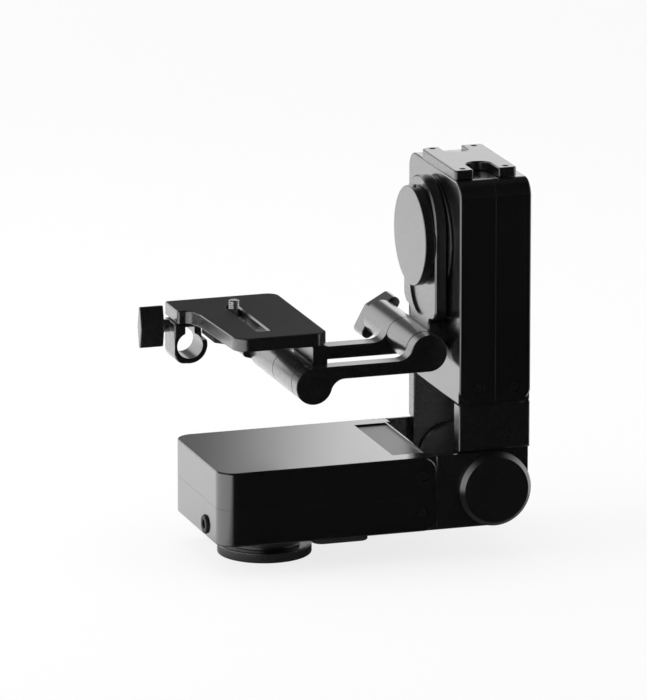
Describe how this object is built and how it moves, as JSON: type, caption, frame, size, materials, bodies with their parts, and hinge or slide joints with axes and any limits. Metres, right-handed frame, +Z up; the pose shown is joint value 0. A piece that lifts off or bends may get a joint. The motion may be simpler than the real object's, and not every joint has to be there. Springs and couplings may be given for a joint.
{
  "type": "remote pan tilt head",
  "caption": "Motorised camera head: pan unit on a screw foot, upright folding arm with a tilt turntable, and a link bracket that carries a slotted camera plate with a rod clamp.",
  "frame": {"origin": "centre of the tripod socket at the foot's underside, on the pan axis", "axes": "+Z up along the pan axis, +X along the pan unit towards the upright arm, +Y towards the side of the wing knobs"},
  "size_m": [0.203, 0.1316, 0.2277],
  "materials": {
    "black_anodised": "satin black anodised",
    "gloss_black_cover": "smooth glossy black anodised",
    "matte_black_plate": "fine matte black anodised",
    "bright_steel": "turned bright",
    "gear_brass": "machined",
    "socket_plastic": "moulded matte",
    "pad_rubber": "matte",
    "circuit_board": "lacquered"
  },
  "bodies": {
    "foot": {"pan_foot": "black_anodised", "pan_spindle": "bright_steel", "pan_gear": "gear_brass"},
    "pan_unit": {"base_upper_shell": "gloss_black_cover", "base_lower_shell": "gloss_black_cover", "base_fork": "black_anodised", "dc_jack": "socket_plastic", "base_board": "circuit_board", "belly_pad": "pad_rubber", "pan_bearing": "bright_steel", "pan_motor": "bright_steel", "hinge_cap_front": "black_anodised", "hinge_nut_front": "black_anodised", "hinge_cap_rear": "black_anodised", "hinge_nut_rear": "black_anodised"},
    "pan_pinion_wheel": {"pan_pinion": "gear_brass"},
    "arm": {"arm_outer_shell": "gloss_black_cover", "arm_inner_shell": "gloss_black_cover", "arm_fork": "black_anodised", "top_plate": "black_anodised", "arm_board": "circuit_board", "contact_block": "socket_plastic", "tilt_bearing": "bright_steel", "tilt_motor": "bright_steel"},
    "tilt_head": {"tilt_turntable": "black_anodised", "tilt_gear": "gear_brass", "clamp_washer": "bright_steel"},
    "tilt_pinion_wheel": {"tilt_pinion": "gear_brass"},
    "height_clamp": {"height_knob": "black_anodised"},
    "height_plate": {"tilt_plate": "black_anodised"},
    "links": {"front_link": "black_anodised", "rear_link": "black_anodised", "elbow_bolt": "bright_steel", "wrist_bolt": "bright_steel"},
    "elbow_knob": {"elbow_wing_knob": "black_anodised"},
    "wrist_knob": {"wrist_wing_knob": "black_anodised"},
    "carrier": {"camera_plate": "matte_black_plate", "plate_flange": "black_anodised", "rod_clamp": "black_anodised"},
    "rod_knob": {"rod_clamp_knob": "black_anodised"},
    "screw_shoe": {"screw_slider": "bright_steel"},
    "camera_bolt": {"camera_screw": "bright_steel"}
  },
  "joints": [
    {"name": "pan", "type": "hinge", "parent": "foot", "child": "pan_unit", "pos_m": [0, 0, 0], "axis": [0, 0, 1], "continuous": true},
    {"name": "pan_pinion_spin", "type": "hinge", "parent": "pan_unit", "child": "pan_pinion_wheel", "pos_m": [0.0375, 0, 0.03], "axis": [0, 0, 1], "continuous": true},
    {"name": "arm_fold", "type": "hinge", "parent": "pan_unit", "child": "arm", "pos_m": [0.12525, 0, 0.03915], "axis": [0, 1, 0], "range_deg": [0, 90]},
    {"name": "tilt", "type": "hinge", "parent": "arm", "child": "tilt_head", "pos_m": [0.1036, 0, 0.18205], "axis": [1, 0, 0], "continuous": true},
    {"name": "tilt_pinion_spin", "type": "hinge", "parent": "arm", "child": "tilt_pinion_wheel", "pos_m": [0.116, 0, 0.15205], "axis": [1, 0, 0], "continuous": true},
    {"name": "plate_height", "type": "slide", "parent": "tilt_head", "child": "height_plate", "axis": [0, 0, 1], "range_m": [-0.006, 0.021]},
    {"name": "height_knob_turn", "type": "hinge", "parent": "tilt_head", "child": "height_clamp", "pos_m": [0.1036, 0, 0.18205], "axis": [1, 0, 0], "range_deg": [-180, 180]},
    {"name": "elbow", "type": "hinge", "parent": "height_plate", "child": "links", "pos_m": [0.0914, 0, 0.11865], "axis": [0, 1, 0], "range_deg": [-12, 45]},
    {"name": "elbow_knob_turn", "type": "hinge", "parent": "links", "child": "elbow_knob", "pos_m": [0.0914, 0.069, 0.11865], "axis": [0, 1, 0], "range_deg": [-180, 180]},
    {"name": "wrist", "type": "hinge", "parent": "links", "child": "carrier", "pos_m": [0.0216, 0, 0.10355], "axis": [0, 1, 0], "range_deg": [-30, 30]},
    {"name": "wrist_knob_turn", "type": "hinge", "parent": "links", "child": "wrist_knob", "pos_m": [0.0216, 0.069, 0.10355], "axis": [0, 1, 0], "range_deg": [-180, 180]},
    {"name": "rod_knob_turn", "type": "hinge", "parent": "carrier", "child": "rod_knob", "pos_m": [-0.0485, 0.0653, 0.12245], "axis": [1, 0, 0], "range_deg": [-180, 180]},
    {"name": "screw_slide", "type": "slide", "parent": "carrier", "child": "screw_shoe", "axis": [0, 1, 0], "range_m": [-0.042, 0]},
    {"name": "screw_turn", "type": "hinge", "parent": "screw_shoe", "child": "camera_bolt", "pos_m": [-0.002, 0.052, 0.13], "axis": [0, 0, 1], "continuous": true}
  ],
  "couplings": [
    {"joint": "pan_pinion_spin", "follows": "pan", "ratio": 4},
    {"joint": "tilt_pinion_spin", "follows": "tilt", "ratio": -4}
  ]
}
